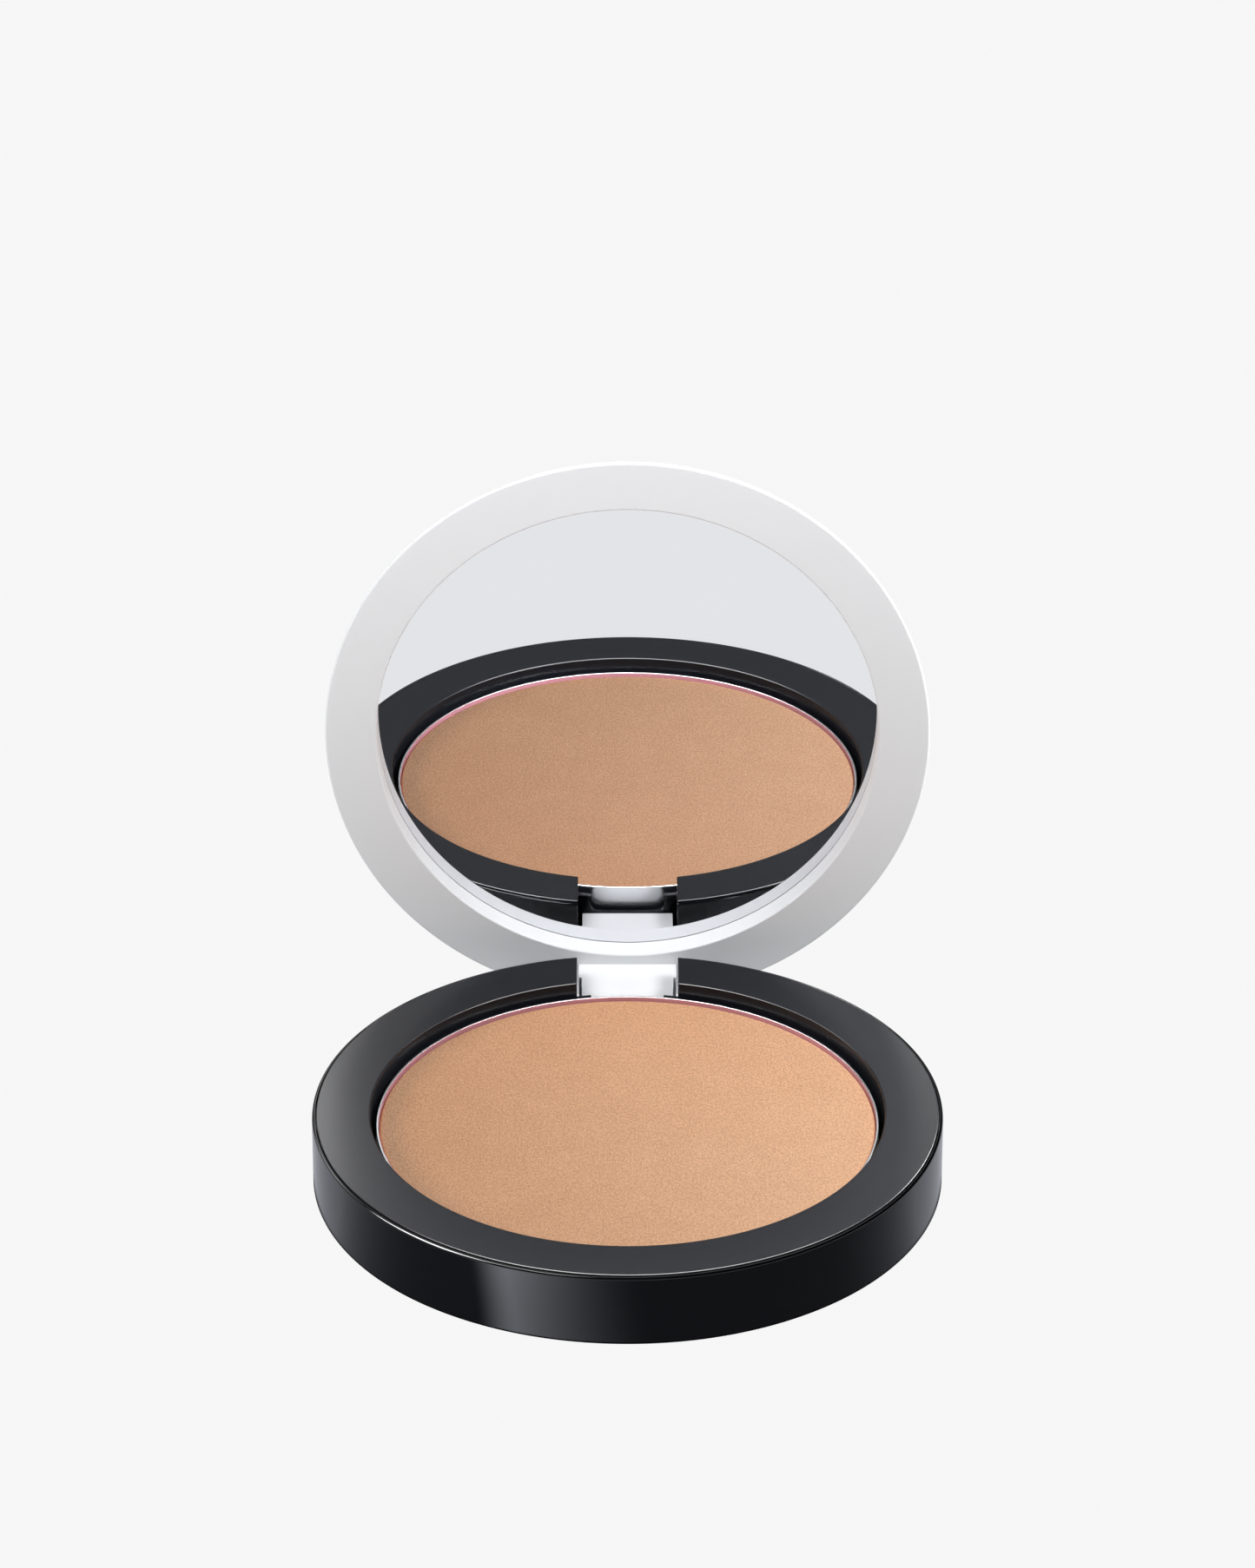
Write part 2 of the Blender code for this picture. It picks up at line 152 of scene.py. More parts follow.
# Fineness of the turned surfaces. Columns keep clear of the notch's edges, which are cut later.
COLUMN = math.radians(1.5)
ARC_STEPS = 6
NOTCH_NEAR = math.radians(8.9)
NOTCH_FAR = math.radians(12.6)
TRIM_FACETS = 240  # of the helper cylinders that trim a piece to a round wall
BEVEL_ANGLE = math.radians(35)  # edges sharper than this can be rounded
SHADE_ANGLE = math.radians(32)  # edges sharper than this are shaded sharp
TOUCH = 1e-6  # metres within which two coordinates count as equal
MARGIN = 2.0 * MM  # how far a cutting tool reaches past the surface it cuts


# ---------------------------------------------------------------- shapes

def rounded(corners):
    """Outline points from (radius, height, fillet) corners, each fillet an arc tangent to both sides."""
    points = []
    for i, (x, y, fillet) in enumerate(corners):
        here = Vector((x, y))
        if not fillet:
            points.append(here)
            continue
        back = (Vector(corners[i - 1][:2]) - here).normalized()
        ahead = (Vector(corners[(i + 1) % len(corners)][:2]) - here).normalized()
        half = back.angle(ahead) / 2
        centre = here + (back + ahead).normalized() * (fillet / math.sin(half))
        start = here + back * (fillet / math.tan(half)) - centre
        end = here + ahead * (fillet / math.tan(half)) - centre
        sweep = start.angle_signed(end)
        for step in range(ARC_STEPS + 1):
            turn = -sweep * step / ARC_STEPS
            points.append(centre + Matrix.Rotation(turn, 2) @ start)
    return points


def even(start, end, step):
    """Angles from start up to but not including end, evenly spaced and no further apart than step."""
    count = math.ceil((end - start) / step)
    return [start + (end - start) * i / count for i in range(count)]


def notched_columns():
    """Columns round the part, leaving one facet on each side where the notch's edge falls."""
    return (even(-NOTCH_NEAR, NOTCH_NEAR, COLUMN) + [NOTCH_NEAR]
            + even(NOTCH_FAR, 2 * math.pi - NOTCH_FAR, COLUMN) + [2 * math.pi - NOTCH_FAR])


def place_new(name, data):
    """A new object in the scene, round a mesh, lamp or camera."""
    obj = bpy.data.objects.new(name, data)
    bpy.context.scene.collection.objects.link(obj)
    return obj


def add(name, shape):
    """A new object from a bmesh, which is used up."""
    mesh = bpy.data.meshes.new(name)
    bmesh.ops.recalc_face_normals(shape, faces=shape.faces)
    shape.to_mesh(mesh)
    shape.free()
    return place_new(name, mesh)


def lathe(name, outline, columns=None):
    """Turn a closed outline of (radius, height) points about Z. Angles run from +Y, the hinge's side."""
    columns = columns or even(0.0, 2 * math.pi, COLUMN)
    shape = bmesh.new()
    rings = []
    for radius, height in outline:
        if radius < MM * 1e-3:
            rings.append([shape.verts.new((0.0, 0.0, height))])
        else:
            rings.append([shape.verts.new((radius * math.sin(a), radius * math.cos(a), height))
                          for a in columns])
    for lower, upper in zip(rings, rings[1:] + rings[:1]):
        if len(lower) == 1 and len(upper) == 1:
            continue
        for i in range(len(columns)):
            j = (i + 1) % len(columns)
            corners = [lower[i % len(lower)], lower[j % len(lower)],
                       upper[j % len(upper)], upper[i % len(upper)]]
            shape.faces.new(list(dict.fromkeys(corners)))
    return add(name, shape)


def block(name, low, high):
    """A box between two corners, given as (x, y, z)."""
    shape = bmesh.new()
    bmesh.ops.create_cube(shape, size=1.0)
    for vertex in shape.verts:
        vertex.co = [low[i] + (vertex.co[i] + 0.5) * (high[i] - low[i]) for i in range(3)]
    return add(name, shape)


def rod(name, centre, radius, length, axis="Z", segments=64):
    """A cylinder along Z or X about its centre."""
    shape = bmesh.new()
    bmesh.ops.create_cone(shape, cap_ends=True, segments=segments, radius1=radius, radius2=radius,
                          depth=length)
    turn = Matrix.Rotation(math.pi / 2, 4, "Y") if axis == "X" else Matrix()
    bmesh.ops.transform(shape, matrix=Matrix.Translation(centre) @ turn, verts=shape.verts)
    return add(name, shape)


def window(name, front, back):
    """The rounded window in the well's wall, as a bar along Y."""
    outline = rounded([
        (WINDOW_HALF, WINDOW_HIGH, WINDOW_CORNER), (-WINDOW_HALF, WINDOW_HIGH, WINDOW_CORNER),
        (-WINDOW_HALF, WINDOW_LOW, WINDOW_CORNER), (WINDOW_HALF, WINDOW_LOW, WINDOW_CORNER),
    ])
    shape = bmesh.new()
    face = shape.faces.new([shape.verts.new((x, front, z)) for x, z in outline])
    pushed = bmesh.ops.extrude_face_region(shape, geom=[face])
    moved = [item for item in pushed["geom"] if isinstance(item, bmesh.types.BMVert)]
    bmesh.ops.translate(shape, vec=(0.0, back - front, 0.0), verts=moved)
    return add(name, shape)


def combine(obj, tool, operation):
    """Join a helper solid to the piece, or cut it away, and remove the helper."""
    change = obj.modifiers.new("combine", "BOOLEAN")
    change.operation = operation
    change.solver = "EXACT"
    change.object = tool
    depsgraph = bpy.context.evaluated_depsgraph_get()
    obj.data = bpy.data.meshes.new_from_object(obj.evaluated_get(depsgraph))
    obj.modifiers.clear()
    bpy.data.objects.remove(tool)


def round_edges(obj, chosen, width, steps=3):
    """Round the sharp edges whose two ends both pass the test."""
    shape = bmesh.new()
    shape.from_mesh(obj.data)
    bmesh.ops.remove_doubles(shape, verts=shape.verts, dist=1e-7)
    edges = [e for e in shape.edges if len(e.link_faces) == 2 and e.calc_face_angle() > BEVEL_ANGLE
             and all(chosen(v.co) for v in e.verts)]
    bmesh.ops.bevel(shape, geom=edges, offset=width, segments=steps, profile=0.5, affect="EDGES",
                    clamp_overlap=False)
    shape.to_mesh(obj.data)
    shape.free()


def finish_piece(obj, body, material, slot, *nodes):
    """Shade, dress and mount a piece that stands for CAD nodes."""
    obj.data.shade_smooth()
    obj.data.set_sharp_from_angle(angle=SHADE_ANGLE)
    weighted = obj.modifiers.new("even shading", "WEIGHTED_NORMAL")
    weighted.keep_sharp = True
    obj.data.materials.clear()
    obj.data.materials.append(material)
    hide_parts(*nodes)
    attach(obj, body)


def swing_open(obj):
    """Turn a piece of the shut lid a quarter turn about the hinge axis, to where it rests."""
    there = Matrix.Translation(HINGE) @ Matrix.Rotation(-math.pi / 2, 4, "X") @ Matrix.Translation(-HINGE)
    obj.data.transform(there)


# ---------------------------------------------------------------- materials

RING_SHINE = 0.5
WELL_SHINE = 0.12


def new_material(name, colour, roughness, metallic=0.0):
    """A material with its node tree and its Principled shader."""
    material = bpy.data.materials.new(name)
    material.use_nodes = True
    tree = material.node_tree
    shader = tree.nodes["Principled BSDF"]
    shader.inputs["Base Color"].default_value = (*colour, 1.0)
    shader.inputs["Roughness"].default_value = roughness
    shader.inputs["Metallic"].default_value = metallic
    return material, tree, shader


def grain(tree, size, stretch=(1.0, 1.0, 1.0), detail=2.0, seed=0.0):
    """Noise in the part's own space: the grain's size in metres, and its stretch along X, Y and Z."""
    place = tree.nodes.new("ShaderNodeTexCoord")
    scale = tree.nodes.new("ShaderNodeMapping")
    scale.inputs["Scale"].default_value = [1.0 / (size * s) for s in stretch]
    scale.inputs["Location"].default_value = (seed, seed, seed)
    texture = tree.nodes.new("ShaderNodeTexNoise")
    texture.inputs["Scale"].default_value = 1.0
    texture.inputs["Detail"].default_value = detail
    tree.links.new(place.outputs["Object"], scale.inputs["Vector"])
    tree.links.new(scale.outputs["Vector"], texture.inputs["Vector"])
    return texture.outputs["Fac"]


def remap(tree, value, low, high, start=0.3, end=0.7):
    """Spread a noise value over a range."""
    node = tree.nodes.new("ShaderNodeMapRange")
    node.inputs["From Min"].default_value = start
    node.inputs["From Max"].default_value = end
    node.inputs["To Min"].default_value = low
    node.inputs["To Max"].default_value = high
    tree.links.new(value, node.inputs["Value"])
    return node.outputs["Result"]


def blend_colours(tree, factor, first, second):
    """Mix two colours, each a triple or another node's output."""
    mix = tree.nodes.new("ShaderNodeMix")
    mix.data_type = "RGBA"
    tree.links.new(factor, mix.inputs["Factor"])
    for socket, colour in ((mix.inputs["A"], first), (mix.inputs["B"], second)):
        if isinstance(colour, tuple):
            socket.default_value = (*colour, 1.0)
        else:
            tree.links.new(colour, socket)
    return mix.outputs["Result"]


def reach(tree):
    """Distance from the base's axis."""
    place = tree.nodes.new("ShaderNodeTexCoord")
    flat = tree.nodes.new("ShaderNodeVectorMath")
    flat.operation = "MULTIPLY"
    flat.inputs[1].default_value = (1.0, 1.0, 0.0)
    length = tree.nodes.new("ShaderNodeVectorMath")
    length.operation = "LENGTH"
    tree.links.new(place.outputs["Object"], flat.inputs[0])
    tree.links.new(flat.outputs["Vector"], length.inputs[0])
    return length.outputs["Value"]


def bump(tree, shader, layers):
    """Stack (height output, depth in metres) layers of fine relief onto the shader."""
    last = None
    for height, depth in layers:
        node = tree.nodes.new("ShaderNodeBump")
        node.inputs["Strength"].default_value = 1.0
        node.inputs["Distance"].default_value = depth
        tree.links.new(height, node.inputs["Height"])
        if last:
            tree.links.new(last, node.inputs["Normal"])
        last = node.outputs["Normal"]
    tree.links.new(last, shader.inputs["Normal"])


def gloss_black():
    """Polished moulded plastic with the faint lengthwise waviness of a moulded wall."""
    material, tree, shader = new_material("gloss_black_plastic", (0.0035, 0.004, 0.006), 0.1)
    patches = grain(tree, 6.0 * MM, detail=3.0)
    tree.links.new(blend_colours(tree, patches, (0.003, 0.0035, 0.005), (0.0045, 0.005, 0.007)),
                   shader.inputs["Base Color"])
    tree.links.new(remap(tree, grain(tree, 1.5 * MM, detail=4.0), 0.08, 0.13), shader.inputs["Roughness"])
    bump(tree, shader, [(grain(tree, 0.6 * MM, (3.0, 3.0, 1.0)), 0.0006 * MM)])
    return material


def satin_black(name, shine):
    """Fine-spark-eroded black plastic. The well's wall, which the tool leaves duller, shines less."""
    material, tree, shader = new_material(name, (0.0085, 0.0094, 0.0125), 0.25)
    shader.inputs["Specular IOR Level"].default_value = shine
    tree.links.new(blend_colours(tree, grain(tree, 3.0 * MM, detail=4.0), (0.008, 0.0088, 0.0118),
                                 (0.009, 0.01, 0.0134)), shader.inputs["Base Color"])
    tree.links.new(remap(tree, grain(tree, 0.2 * MM), 0.235, 0.265), shader.inputs["Roughness"])
    bump(tree, shader, [(grain(tree, 0.12 * MM), 0.00015 * MM)])
    return material


def satin_white():
    """White moulded plastic with a fine satin grain."""
    material, tree, shader = new_material("satin_white_plastic", (0.76, 0.77, 0.79), 0.4)
    tree.links.new(blend_colours(tree, grain(tree, 8.0 * MM, detail=4.0), (0.75, 0.762, 0.784),
                                 (0.765, 0.776, 0.796)), shader.inputs["Base Color"])
    tree.links.new(remap(tree, grain(tree, 0.25 * MM), 0.36, 0.46), shader.inputs["Roughness"])
    bump(tree, shader, [(grain(tree, 0.15 * MM), 0.0012 * MM)])
    return material


def bright_tin():
    """Drawn sheet metal with faint draw marks; its inner wall is coloured pink and not metallic."""
    material, tree, shader = new_material("tinned_sheet", (0.88, 0.885, 0.9), 0.25, 1.0)
    marks = grain(tree, 0.15 * MM, (1.0, 1.0, 20.0), detail=3.0)
    metal = blend_colours(tree, marks, (0.87, 0.875, 0.885), (0.9, 0.905, 0.915))
    # Inside the inner wall's radius the colour turns pink and the metal goes.
    fade_start, fade_end = (PAN_RADIUS - SHEET + depth for depth in PINK_BAND_REACH)
    pink_band = remap(tree, reach(tree), 1.0, 0.0, fade_start, fade_end)
    tree.links.new(blend_colours(tree, pink_band, metal, (0.62, 0.3, 0.36)), shader.inputs["Base Color"])
    tree.links.new(remap(tree, pink_band, 1.0, 0.0, 0.0, 1.0), shader.inputs["Metallic"])
    tree.links.new(remap(tree, marks, 0.23, 0.27), shader.inputs["Roughness"])
    return material


def pressed_powder():
    """Cake pressed through cloth: fine ribs, soft mottling and darker grains."""
    material, tree, shader = new_material("pressed_powder_cake", (0.52, 0.22, 0.09), 0.8)
    mottle = grain(tree, 5.0 * MM, detail=5.0)
    fine = grain(tree, 0.24 * MM, (1.0, 1.5, 1.0), detail=3.0)
    body = blend_colours(tree, remap(tree, mottle, 0.0, 1.0), (0.68, 0.268, 0.098), (0.72, 0.288, 0.1075))
    tree.links.new(blend_colours(tree, remap(tree, fine, 0.0, 0.7), body, (0.39, 0.128, 0.043)),
                   shader.inputs["Base Color"])
    shader.inputs["Specular IOR Level"].default_value = 0.25
    ribs = grain(tree, 0.17 * MM, (1.0, 4.0, 1.0), detail=1.0, seed=7.0)
    bump(tree, shader, [(ribs, 0.05 * MM), (fine, 0.052 * MM)])
    return material


def mirror_silver():
    """Silvered glass with an even, faintly cool tint."""
    material, tree, shader = new_material("silvered_glass", (0.83, 0.84, 0.86), 0.0, 1.0)
    tint = blend_colours(tree, grain(tree, 12.0 * MM), (0.826, 0.834, 0.858), (0.832, 0.84, 0.863))
    tree.links.new(tint, shader.inputs["Base Color"])
    return material


def polished_steel(name, colour):
    """Drawn or plated metal with marks along its length."""
    material, tree, shader = new_material(name, colour, 0.25, 1.0)
    marks = grain(tree, 0.08 * MM, (30.0, 1.0, 1.0), detail=3.0)
    darker = tuple(0.85 * c for c in colour)
    tree.links.new(blend_colours(tree, marks, darker, colour), shader.inputs["Base Color"])
    tree.links.new(remap(tree, marks, 0.2, 0.35), shader.inputs["Roughness"])
    return material


def paper_or_tape(name, colour, roughness):
    """Matt sheet with fibres and slight unevenness."""
    material, tree, shader = new_material(name, colour, roughness)
    fibres = grain(tree, 0.2 * MM, (4.0, 1.0, 1.0), detail=4.0)
    darker = tuple(0.93 * c for c in colour)
    tree.links.new(blend_colours(tree, fibres, darker, colour), shader.inputs["Base Color"])
    bump(tree, shader, [(fibres, 0.005 * MM)])
    return material


# ---------------------------------------------------------------- base

def beside_notch(co):
    """Whether a corner lies in one of the notch's two side faces."""
    return abs(abs(co.x) - NOTCH_HALF) < TOUCH


def make_shell(material):
    """The glossy cup, with the hinge's ears, the magnet's post and the label's recess."""
    rebate = RING_RADIUS + REBATE_PLAY
    inner = SHELL_RADIUS - SHELL_WALL
    outline = rounded([
        (0.0, SHELL_FLOOR, 0), (inner, SHELL_FLOOR, 0.6 * MM), (inner, SHELL_LEDGE, 0),
        (rebate, SHELL_LEDGE, 0), (rebate, SHELL_RIM, 0.06 * MM),
        (SHELL_RADIUS, SHELL_RIM, SHELL_RIM_FILLET), (SHELL_RADIUS, 0.0, FOOT_FILLET),
        (LABEL_ROOM, 0.0, 0.05 * MM), (LABEL_ROOM, LABEL_DEPTH, 0), (0.0, LABEL_DEPTH, 0),
    ])
    shell = lathe("compact_base_shell", outline, notched_columns())
    for side in (-1, 1):
        low_x, high_x = sorted((side * (NOTCH_HALF - MM), side * EAR_OUTER))
        ear = block("ear", (low_x, NOTCH_FRONT, SHELL_FLOOR / 2), (high_x, SHELL_RADIUS, EAR_TOP))
        round_edges(ear, lambda co: True, EAR_EDGE)
        limit = rod("limit", (0, 0, RING_TOP / 2), SHELL_RADIUS - SHELL_WALL / 2, RING_TOP,
                    segments=TRIM_FACETS)
        combine(ear, limit, "INTERSECT")
        combine(shell, ear, "UNION")
    post_low = SHELL_FLOOR / 2
    post = rod("post", (0, -MAGNET_PLACE, (post_low + SHELL_LEDGE) / 2), BOSS_RADIUS,
               SHELL_LEDGE - post_low)
    combine(shell, post, "UNION")
    pocket_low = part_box("base_magnet")[0].z - BASE_POCKET_PLAY
    pocket = rod("pocket", (0, -MAGNET_PLACE, pocket_low + MARGIN), MAGNET_ROOM, 2 * MARGIN)
    combine(shell, pocket, "DIFFERENCE")
    notch = block("notch", (-NOTCH_HALF, NOTCH_FRONT, NOTCH_FLOOR),
                  (NOTCH_HALF, SHELL_RADIUS + MARGIN, RING_TOP + MARGIN))
    combine(shell, notch, "DIFFERENCE")
    bore_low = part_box("hinge_pin")[0].x - BORE_PLAY
    bore_high = SHELL_RADIUS / 2
    bore = rod("bore", ((bore_low + bore_high) / 2, HINGE.y, HINGE.z), EAR_BORE,
               bore_high - bore_low, "X")
    combine(shell, bore, "DIFFERENCE")
    inmost = SHELL_RADIUS - NOTCH_EDGE_DEPTH
    round_edges(shell, lambda co: beside_notch(co) and co.y > inmost, NOTCH_EDGE)
    finish_piece(shell, "base", material, "gloss_black", "base_shell")


def make_tray(material, wall_material):
    """The satin ring and its well, whose wall wears a duller material."""
    underside = RING_TOP - RING_THICKNESS
    outer_well = WELL_RADIUS + WELL_WALL
    outline = rounded([
        (0.0, TRAY_BOTTOM + WELL_FLOOR, 0), (WELL_RADIUS, TRAY_BOTTOM + WELL_FLOOR, 0.5 * MM),
        (WELL_RADIUS, RING_TOP, RING_FILLET), (RING_RADIUS, RING_TOP, RING_FILLET),
        (RING_RADIUS, underside, 0.05 * MM), (outer_well, underside, 0.2 * MM),
        (outer_well, TRAY_BOTTOM, 0.4 * MM), (0.0, TRAY_BOTTOM, 0),
    ])
    tray = lathe("compact_tray", outline, notched_columns())
    notch = block("notch", (-NOTCH_HALF, PAN_RADIUS / 2, NOTCH_SILL),
                  (NOTCH_HALF, SHELL_RADIUS + MARGIN, RING_TOP + MARGIN))
    combine(tray, notch, "DIFFERENCE")
    combine(tray, window("window", PAN_RADIUS / 2, SHELL_RADIUS), "DIFFERENCE")
    round_edges(tray, lambda co: beside_notch(co) and co.z > NOTCH_SILL + TOUCH, NOTCH_EDGE)
    finish_piece(tray, "base", material, "satin_black", "base_tray")
    tray.data.materials.append(wall_material)
    for face in tray.data.polygons:
        within = math.hypot(face.center.x, face.center.y) < WELL_RADIUS + WALL_NEAR
        if within and face.center.z < RING_TOP - RING_FILLET:
            face.material_index = 1


def make_pan(material):
    """The drawn sheet-metal pan."""
    inner = PAN_RADIUS - SHEET
    outline = rounded([
        (0.0, PAN_BASE + SHEET, 0), (inner, PAN_BASE + SHEET, 0.3 * MM), (inner, PAN_RIM, 0.08 * MM),
        (PAN_RADIUS, PAN_RIM, 0.1 * MM), (PAN_RADIUS, PAN_BASE, 0.55 * MM), (0.0, PAN_BASE, 0),
    ])
    pan = lathe("compact_pan", outline)
    finish_piece(pan, "base", material, "pan_metal", "powder_pan")


def make_cake(material):
    """The pressed surface is slightly uneven and turns down at the pan's wall."""
    flat = CAKE_RADIUS - CAKE_EDGE
    top = [Vector((flat * i / CAKE_RINGS, CAKE_TOP)) for i in range(CAKE_RINGS + 1)]
    turned_down = rounded([(0.0, CAKE_TOP, 0), (CAKE_RADIUS, CAKE_TOP, CAKE_EDGE),
                           (CAKE_RADIUS, CAKE_BASE, 0)])
    cake = lathe("compact_powder", top + turned_down[2:] + [Vector((0.0, CAKE_BASE))])
    for vertex in cake.data.vertices:
        if vertex.co.z > CAKE_TOP - CAKE_EDGE:
            lump = noise.fractal(vertex.co / CAKE_LUMP, 1.0, 2.0, 3)
            vertex.co.z += CAKE_RELIEF * (min(lump, 0.5) - 0.5)
    finish_piece(cake, "base", material, "powder", "pressed_powder")


# ---------------------------------------------------------------- lid

def shut_height(y):
    """Height in the shut lid of what rests at y in the open one."""
    return HINGE.z + y - HINGE.y


def crown_depth(radius):
    """Depth of the lid's crowned outside behind the face."""
    return COVER_START + (COVER_DEPTH - COVER_START) * (1.0 - (radius / LID_RADIUS) ** COVER_POWER)


def crown_radius(depth):
    """Radius of the crowned outside at a depth behind the face."""
    share = (depth - COVER_START) / (COVER_DEPTH - COVER_START)
    return LID_RADIUS * (1.0 - share) ** (1.0 / COVER_POWER)


def make_lug():
    """The square lug: full width at its root, a little narrower round the pin."""
    front, back = HINGE.y - LUG_RADIUS, HINGE.y + LUG_RADIUS
    shoulder = HINGE.z + LUG_RADIUS
    lug = block("lug", (-LUG_HALF, front, shoulder), (LUG_HALF, back, FACE + LUG_ROOT))
    round_edges(lug, lambda co: co.z < FACE, NOTCH_EDGE)
    knuckle = rod("knuckle", HINGE, LUG_RADIUS, 2 * KNUCKLE_HALF, "X", 96)
    neck = block("neck", (-KNUCKLE_HALF, front, HINGE.z), (KNUCKLE_HALF, back, shoulder + MM))
    combine(knuckle, neck, "UNION")
    round_edges(knuckle, lambda co: co.z < shoulder, NOTCH_EDGE)
    combine(lug, knuckle, "UNION")
    limit = rod("limit", (0, 0, RING_TOP / 2), LID_RADIUS - LUG_INSET, 2 * RING_TOP,
                segments=TRIM_FACETS)
    combine(lug, limit, "INTERSECT")
    return lug


def make_frame(material):
    """The lid's ring, with the mirror's recess, the scoop that clears the base's rim, and the lug."""
    wall = FRAME_INNER + RECESS_WALL
    outline = rounded([
        (FRAME_INNER, FACE + RECESS_DEPTH, 0), (wall, FACE + RECESS_DEPTH, 0),
        (wall, FACE + FRAME_THICKNESS, 0), (FRAME_SPIGOT, FACE + FRAME_THICKNESS, 0),
        (FRAME_SPIGOT, FACE + LID_EDGE, 0), (crown_radius(LID_EDGE), FACE + LID_EDGE, 0.08 * MM),
        (LID_RADIUS, FACE, FRAME_OUTER_FILLET), (FRAME_INNER, FACE, FRAME_INNER_FILLET),
    ])
    ring = lathe("compact_lid_frame", outline, notched_columns())
    scoop = rod("scoop", (0, HINGE.y, HINGE.z), SCOOP_RADIUS, 2 * SCOOP_HALF, "X", 192)
    combine(ring, scoop, "DIFFERENCE")
    combine(ring, make_lug(), "UNION")
    combine(ring, rod("bore", HINGE, LUG_BORE, 3 * KNUCKLE_HALF, "X"), "DIFFERENCE")
    swing_open(ring)
    finish_piece(ring, "lid", material, "satin_white", "lid_frame")


def make_cover(material):
    """The lid's crowned outside, hollow for the mirror, with a boss for the magnet."""
    rim = LID_EDGE + COVER_GAP
    crown = []
    for step in range(COVER_POINTS + 1):
        radius = crown_radius(rim) * math.sin(math.pi / 2 * step / COVER_POINTS)
        crown.append(Vector((radius, FACE + crown_depth(radius))))
    spigot_room = FRAME_SPIGOT + SPIGOT_PLAY
    mirror_room = MIRROR_RADIUS + MIRROR_PLAY
    bend_inset, bend_depth = HOLLOW_BEND
    shoulder_inset, shoulder_depth = HOLLOW_SHOULDER
    hollow = rounded([
        (spigot_room, FACE + rim, 0), (spigot_room, FACE + SPIGOT_DEEP, 0),
        (spigot_room - bend_inset, FACE + bend_depth, 0.5 * MM),
        (mirror_room + shoulder_inset, FACE + shoulder_depth, 0.3 * MM),
        (mirror_room, FACE + COVER_FLOOR, 0), (0.0, FACE + COVER_FLOOR, 0),
    ])
    cover = lathe("compact_lid_cover", crown + hollow)
    magnet_low, magnet_high = (shut_height(corner.y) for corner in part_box("lid_magnet"))
    boss_high = FACE + crown_depth(MAGNET_PLACE + BOSS_RADIUS) - BOSS_SINK
    boss = rod("boss", (0, -MAGNET_PLACE, (magnet_low + boss_high) / 2), BOSS_RADIUS,
               boss_high - magnet_low)
    limit = rod("limit", (0, 0, FACE), spigot_room + SPIGOT_PLAY, 3 * COVER_DEPTH,
                segments=TRIM_FACETS)
    combine(boss, limit, "INTERSECT")
    combine(cover, boss, "UNION")
    pocket_high = magnet_high + LID_POCKET_PLAY
    pocket = rod("pocket", (0, -MAGNET_PLACE, pocket_high - MM), MAGNET_ROOM, 2 * MM)
    combine(cover, pocket, "DIFFERENCE")
    swing_open(cover)
    finish_piece(cover, "lid", material, "satin_white", "lid_cover")


def make_mirror(material):
    """The round glass, with both edges ground."""
    front, back = FACE + MIRROR_FRONT, FACE + MIRROR_FRONT + MIRROR_THICKNESS
    ground = 0.1 * MM
    outline = rounded([(0.0, back, 0), (MIRROR_RADIUS, back, ground), (MIRROR_RADIUS, front, ground),
                       (0.0, front, 0)])
    mirror = lathe("compact_mirror", outline)
    swing_open(mirror)
    finish_piece(mirror, "lid", material, "mirror_silver", "mirror")


def make_disc(node, body, material, slot, fillet, lid=False):
    """A flat round piece with softened edges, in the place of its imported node."""
    low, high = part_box(node)
    place = Vector((low.x + high.x, low.y + high.y, 0.0)) / 2
    bottom, top = low.z, high.z
    if lid:
        place.y = HINGE.y + HINGE.z - (low.z + high.z) / 2
        bottom, top = shut_height(low.y), shut_height(high.y)
    radius = (high.x - low.x) / 2
    outline = rounded([(0.0, top, 0), (radius, top, fillet), (radius, bottom, fillet),
                       (0.0, bottom, 0)])
    disc = lathe("compact_" + node, outline)
    disc.data.transform(Matrix.Translation(place))
    if lid:
        swing_open(disc)
    finish_piece(disc, body, material, slot, node)


def make_pin(material):
    """The steel pin, with both ends rounded."""
    low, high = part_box("hinge_pin")
    radius, rounding = (high.z - low.z) / 2, 0.15 * MM
    outline = rounded([(0.0, high.x, 0), (radius, high.x, rounding), (radius, low.x, rounding),
                       (0.0, low.x, 0)])
    pin = lathe("compact_hinge_pin", outline, even(0.0, 2 * math.pi, 5 * COLUMN))
    pin.data.transform(Matrix.Translation((0.0, HINGE.y, HINGE.z)) @ Matrix.Rotation(math.pi / 2, 4, "Y"))
    finish_piece(pin, "base", material, "pin_steel", "hinge_pin")


# ---------------------------------------------------------------- stage

FLOOR_GLOW = 0.925
FLOOR_DROP = 0.02 * MM
FLOOR_HALF = 4.0
WORLD_SEEN = 0.93
WORLD_LIGHT = 0.0
# The card paints the reflection that the base's glossy wall shows. Its dim, cool glow is the wall's painted
# dark tone.
CARD_RADIUS = 58.0 * MM
CARD_HEIGHT = 0.05 * MM
CARD_REACH = 35.0 * MM
CARD_GLOW = 0.1
CARD_TINT = (0.96, 0.98, 1.08, 1.0)
# Close to the foot the card is black, from the first distance off the axis up to the second: a painted
# shade line along the foot in the wall's reflection.
FOOT_SHADE = (37.05 * MM, 37.6 * MM)
# The card carries a painted streak at front left, which the wall shows as a soft painted highlight. Angles
# are those of the wall that reflects it, from -Y.
STREAK_GLOW = 2.3
STREAK_START = math.radians(-27.5)
STREAK_FULL = math.radians(-19.5)
STREAK_END = math.radians(5.7)
# Towards the wall's top, which reflects the card's far part, the streak leans left and grows brighter.
STREAK_SPAN = 17.0 * MM
STREAK_LEAN = math.radians(3.0)
STREAK_LIFT = 0.5
# Round both sides of the base the card brightens again, a painted reflection that lightens the wall's
# sides.
SIDE_GLOW = 0.46
SIDE_START = math.radians(38.0)
SIDE_FULL = math.radians(68.0)

